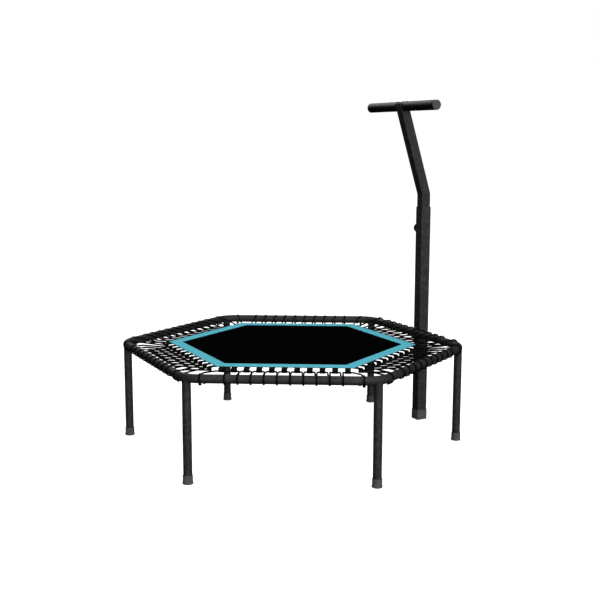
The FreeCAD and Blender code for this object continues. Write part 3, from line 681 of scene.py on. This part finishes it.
def stitch(made, a, b, radius, slot):
    """One thread stitch: a short bent capsule from a to b that dips in at its ends."""
    a, b = Vector(a), Vector(b)
    points, radii = [], []
    shape = ((0, -0.7, 0.35), (0.15, 0.1, 0.85), (0.5, 0.35, 1.0), (0.85, 0.1, 0.85), (1, -0.7, 0.35))
    for share, lift, size in shape:
        points.append(a.lerp(b, share) + Vector((0, 0, lift * radius)))
        radii.append(radius * size)
    made.tube(round_rings(points, radii, 6), slot=slot)


SEWN_IN, SEWN_OUT = 0.3875, 0.401  # where the webbing is sewn under the mat
TOP_LAYER, LOW_LAYER = 0.36112, 0.35968  # heights of its two layers there
LOOP_RING = 0.00392  # radius of the webbing round the rope
LOOP_NECK = 0.3543  # height where the loop's two sides start to bend to the layers


def tab_line(lean):
    """Middle of the webbing: out from under the mat, down, round the rope, up and back underneath."""
    top, low, neck = TOP_LAYER, LOW_LAYER, LOOP_NECK
    outer, inner = LOOP_R + LOOP_RING, LOOP_R - LOOP_RING
    line = [(SEWN_IN, top), (0.394, top), (SEWN_OUT, top), (0.410, top), (0.4160, top - 0.0001),
            (0.4186, top - 0.0008), (outer - 0.0003 + lean, top - 0.0025), (outer + lean, top - 0.0045),
            (outer, neck)]
    for degrees in range(0, -181, -20):
        angle = math.radians(degrees)
        line.append((LOOP_R + LOOP_RING * math.cos(angle), LOOP_Z + LOOP_RING * math.sin(angle)))
    line += [(inner, neck), (inner - 0.0001, 0.3566), (inner - 0.0008, 0.3584),
             (inner - 0.0030, low - 0.0003), (0.405, low), (SEWN_OUT, low), (0.394, low), (SEWN_IN, low)]
    return line


def tabs(webbing, thread):
    """Each side's tabs, every one a little crooked, with two rows of stitches outside and two below."""
    outside, below = LOOP_R + 0.0046, 0.35895
    rows = ((outside, 0.3560), (outside, 0.3578), (0.3895, below), (0.3975, below))
    row_start, stitches, stitch_pitch, stitch_length, stitch_r = -0.0078, 5, 0.0032, 0.0026, 0.00035
    for side in SIDES:
        made = Builder()
        for tab in range(TABS):
            y = (tab - (TABS - 1) / 2) * TAB_PITCH
            lean = rng.uniform(-0.00025, 0.00025)
            line = np.array(tab_line(lean))
            skew = rng.uniform(-0.0007, 0.0007)
            reach = np.clip((line[:, 0] - SEWN_OUT) / (LOOP_R - SEWN_OUT), 0, 1)
            one = Builder()
            ribbon(one, line, TAB_W, TAB_THICK, skew * np.sin(reach * math.pi))
            for x, z in rows:
                for k in range(stitches):
                    start = row_start + k * stitch_pitch
                    stitch(one, (x, start, z), (x, start + stitch_length, z), stitch_r, 1)
            made.take(one, (0, y, 0))
        piece = made.finish(f"tabs_{side + 1}", [webbing, thread], side_matrix(side))
        drop_with_mat(piece)
        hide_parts(f"mat_tabs_{side + 1}")


# ---------------------------------------------------------------- mat
def ripple(x, y, amount):
    """A slow unevenness of stretched cloth."""
    slow = np.sin(19 * x + 3 * np.sin(7 * y)) * np.sin(17 * y + 1.3)
    return amount * (slow + 0.5 * np.sin(41 * x + 29 * y + 0.7))


def mat_sheet(material):
    """The jumping surface inside the border: two faces of concentric hexagons, joined at the rim."""
    rings = 34
    apothem = BORDER_IN + 0.0012  # a little under the border
    level_rim, sag, waviness = 0.08, 0.0006, 0.00022
    rows = [np.zeros((1, 2))]
    index = [[0]]
    count = 1
    for k in range(1, rings + 1):
        radius = apothem / COS_30 * k / rings
        ring = []
        for corner in SIDES:
            a0, a1 = math.radians(60 * corner), math.radians(60 * corner + 60)
            p0, p1 = np.array([math.cos(a0), math.sin(a0)]), np.array([math.cos(a1), math.sin(a1)])
            for step in range(k):
                ring.append((p0 + (p1 - p0) * step / k) * radius)
        rows.append(np.array(ring))
        index.append(list(range(count, count + len(ring))))
        count += len(ring)
    flat = np.concatenate(rows)
    faces = []
    for k in range(1, rings + 1):
        inner, outer = index[k - 1], index[k]
        for corner in SIDES:
            for step in range(k):
                a = outer[corner * k + step]
                b = outer[(corner * k + step + 1) % len(outer)]
                c = inner[(corner * (k - 1) + step) % len(inner)]
                faces.append((a, b, c))
                if step < k - 1:
                    d = inner[(corner * (k - 1) + step + 1) % len(inner)]
                    faces.append((b, d, c))
    azimuths = [math.radians(30 + 60 * side) for side in SIDES]
    distance = np.max([flat @ np.array([math.cos(a), math.sin(a)]) for a in azimuths], axis=0)
    inside = np.clip((apothem - distance) / level_rim, 0, 1)
    wave = ripple(flat[:, 0], flat[:, 1], waviness) * inside - sag * np.clip(1 - distance / apothem, 0, 1)
    top = np.column_stack([flat, MAT_TOP - 0.0001 + wave])
    low = np.column_stack([flat, MAT_LOW + 0.0005 + wave])
    made = Builder()
    made.add(top, [(list(f), list(f)) for f in faces], flat)
    made.add(low, [(list(f[::-1]), list(f[::-1])) for f in faces], flat)
    rim = index[-1]
    total = len(flat)
    for i, a in enumerate(rim):
        b = rim[(i + 1) % len(rim)]
        made.faces.append([b, a, a + total, b + total])
        made.uvs += [flat[j] for j in (b, a, a, b)]
        made.slots.append(0)
    piece = made.finish("mat_sheet", [material], sharp=None)
    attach(piece, "mat")
    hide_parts("jump_mat")


def strip(made, profile, pucker=0.0):
    """A closed profile of (distance from the middle, height) run along a side between its mitres.
    What is above the mat's top ripples along it by pucker."""
    profile = np.asarray(profile, float)
    steps, pucker_pitch, mitre_gap = 116, 0.011, 0.00005
    loop = np.vstack([profile, profile[:1]])
    around = np.concatenate([[0], np.cumsum(np.linalg.norm(np.diff(loop, axis=0), axis=1))])
    rings = []
    for i in range(steps + 1):
        share = i / steps * 2 - 1
        ring = []
        for x, z in profile:
            y = (x * TAN_30 - mitre_gap) * share
            lift = pucker * math.sin(y / pucker_pitch * math.pi) if z > MAT_TOP else 0.0
            ring.append((x, y, z + lift))
        rings.append(ring)
    n, m = len(rings), len(profile)
    w = m + 1
    uv = [[(around[j], rings[i][j % m][1]) for j in range(w)] for i in range(n)]
    faces = []
    for i in range(n - 1):
        for j in range(m):
            l = (j + 1) % m
            faces.append(([i * m + j, (i + 1) * m + j, (i + 1) * m + l, i * m + l],
                          [i * w + j, (i + 1) * w + j, (i + 1) * w + j + 1, i * w + j + 1]))
    first = list(range(m))
    faces.append((first, first))
    faces.append(([(n - 1) * m + j for j in range(m)][::-1], [(n - 1) * w + j for j in range(m)][::-1]))
    made.add(rings, faces, uv)


def border(teal, thread, black):
    """Six mitred strips of coated fabric with a seam along each edge, and the mat's dark hem under them."""
    seam_in, stitch_pitch, stitch_half, stitch_r, corner_room = 0.0047, 0.0042, 0.0015, 0.00038, 0.004
    for side in SIDES:
        low, top = MAT_TOP + 0.00005, BORDER_TOP
        out, into = MAT_APOTHEM - 0.0001, BORDER_IN
        made = Builder()
        section = [(into, low), (out, low), (out, top - 0.0004), (out - 0.0006, top - 0.00005),
                   (out - 0.0025, top), (out - 0.0042, top - 0.00025), (out - 0.006, top - 0.0003),
                   (out - 0.012, top - 0.0001), (into + 0.022, top - 0.00005), (into + 0.012, top - 0.0001),
                   (into + 0.006, top - 0.0003), (into + 0.0042, top - 0.00025), (into + 0.0025, top),
                   (into + 0.0006, top - 0.00005), (into, top - 0.0004)]
        strip(made, section, pucker=0.00007)
        for x in (into + seam_in, out - seam_in):
            half = x * TAN_30 - corner_room
            count = int(half * 2 / stitch_pitch)
            seam_z = top - 0.00012
            for k in range(count):
                y = -half + (k + 0.5) * half * 2 / count
                stitch(made, (x, y - stitch_half, seam_z), (x, y + stitch_half, seam_z), stitch_r, 1)
        piece = made.finish(f"border_{side + 1}", [teal, thread], side_matrix(side))
        drop_with_mat(piece)
        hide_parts("mat_border")
        edge = Builder()
        into, out, low, top = BORDER_IN + 0.0004, MAT_APOTHEM - 0.0008, MAT_LOW, MAT_TOP
        section = [(into, low + 0.0005), (out - 0.012, low + 0.0005), (out - 0.0115, low),
                   (out - 0.0006, low), (out, low + 0.0006), (out, top), (into, top)]
        strip(edge, section)
        piece = edge.finish(f"mat_edge_{side + 1}", [black], side_matrix(side))
        drop_with_mat(piece)


# ---------------------------------------------------------------- handle
def bar_matrix():
    """Z along the bar, Y up, at the bar's middle."""
    low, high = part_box("t_bar")
    return Matrix.Translation((low + high) / 2) @ side_matrix(0) @ Matrix.Rotation(-math.pi / 2, 4, "X")


def grips(material):
    """Foam sleeves with rounded ends: a little slimmer in their middles, rippled, and not quite round."""
    near, far, radius, bore = 0.0205, 0.2249, 0.01845, 0.01285  # near and far are from the bar's middle
    rows, around, slimmer, ripples, out_of_round = 40, 48, 0.006, 0.00006, 0.0012
    profile = [(bore, near), (radius - 0.0022, near), (radius - 0.0008, near + 0.0006),
               (radius - 0.0001, near + 0.002)]
    for i in range(1, rows):
        t = i / rows
        h = near + (far - near) * t
        profile.append((radius * (1 - slimmer * math.sin(t * math.pi)) + ripples * math.sin(h * 900), h))
    profile += [(radius - 0.0001, far - 0.0035), (radius - 0.0006, far - 0.0018),
                (radius - 0.0018, far - 0.0005), (radius - 0.0032, far), (bore, far)]
    angles = np.arange(around) / around * math.tau
    for name, sign in (("grip_left", 1), ("grip_right", -1)):
        rings = []
        for r, h in profile:
            r = r * (1 + out_of_round * np.sin(3 * angles + 60 * h + sign))
            rings.append(np.stack([r * np.cos(angles), r * np.sin(angles), np.full(around, h)], 1))
        made = Builder()
        made.tube(rings, round_length=math.tau * 0.0175)
        piece = made.finish(f"foam_{name}", [material], bar_matrix() @ Matrix.Scale(sign, 4, (0, 0, 1)))
        if sign < 0:
            piece.data.flip_normals()
        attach(piece, "handle")
        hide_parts(name)


# ---------------------------------------------------------------- small metalwork
def leg_welds(material):
    """A rippled bead where each leg's stub meets the bent tube."""
    made = Builder()
    stub_r, count = 0.01485, 96
    bead, bead_ripple = 0.0014, 0.00018
    for corner in SIDES:
        line = []
        for i in range(count):
            angle = i / count * math.tau
            x, y = LEG_CIRCLE + stub_r * math.cos(angle), stub_r * math.sin(angle)
            off = math.hypot(x - (LEG_CIRCLE - BEND_R), y) - BEND_R
            drop = math.sqrt(max(TUBE_R**2 - off**2, 0))
            line.append(corner_matrix(corner) @ Vector((x, y, TUBE_Z - drop)))
        radii = [bead + bead_ripple * math.sin(i * 2.1) for i in range(count)]
        made.tube(round_rings(line, radii, 8), closed=True)
    piece = made.finish("leg_welds", [material])
    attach(piece, "frame")


# ---------------------------------------------------------------- scene
def paint():
    """Each CAD node that shows takes the first material whose names start its own."""
    coat = powder_coat("frame_powder_coat")
    rules = {
        ("leg_plugs", "leg_studs", "clamp_stud"): steel("zinc_plate"),
        ("corner_elbow", "side_tube", "leg_", "handle_post", "clamp_boss", "handle_stem", "t_bar"): coat,
        ("frame_screws", "post_u_bolt", "u_bolt"): plastic("black_oxide", (0.02, 0.02, 0.02), 0.4),
        ("foot_", "post_foot"): rubber("foot_rubber"),
        ("stem_top_cap", "stem_glide"): plastic("black_plug_plastic", (0.014, 0.014, 0.014)),
        ("clamp_knob",): plastic("knob_plastic", (0.0015, 0.0015, 0.0015), 0.6),
        ("bar_end_caps",): plastic("cap_plastic", (0.07, 0.07, 0.07), 0.5),
    }
    for name, node in NODES.items():
        for starts, material in rules.items():
            if name.startswith(starts):
                node.data.materials.clear()
                node.data.materials.append(material)
                break
    return coat


camera()
studio()
frame_coat = paint()
ropes(braided("bungee_braid", (0.0016, 0.0016, 0.0016)))
tabs(woven("tab_webbing_weave", (0.0016, 0.0016, 0.0016), 0.0014, 0.75, 0.5, gloss=0.08),
     plastic("black_thread", (0.0025, 0.0025, 0.0025), 0.8))
mat_fabric = woven("mat_weave", (0.0007, 0.0006, 0.0006), 0.0016, 0.85, 0.35, gloss=0.004)
mat_sheet(mat_fabric)
border(woven("border_weave", (0.115, 0.62, 0.76), 0.0007, 0.72, 0.3, gloss=0.25, contrast=(0.90, 1.08)),
       plastic("teal_thread", (0.095, 0.53, 0.66), 0.7), mat_fabric)
grips(foam("grip_foam_skin"))
leg_welds(frame_coat)
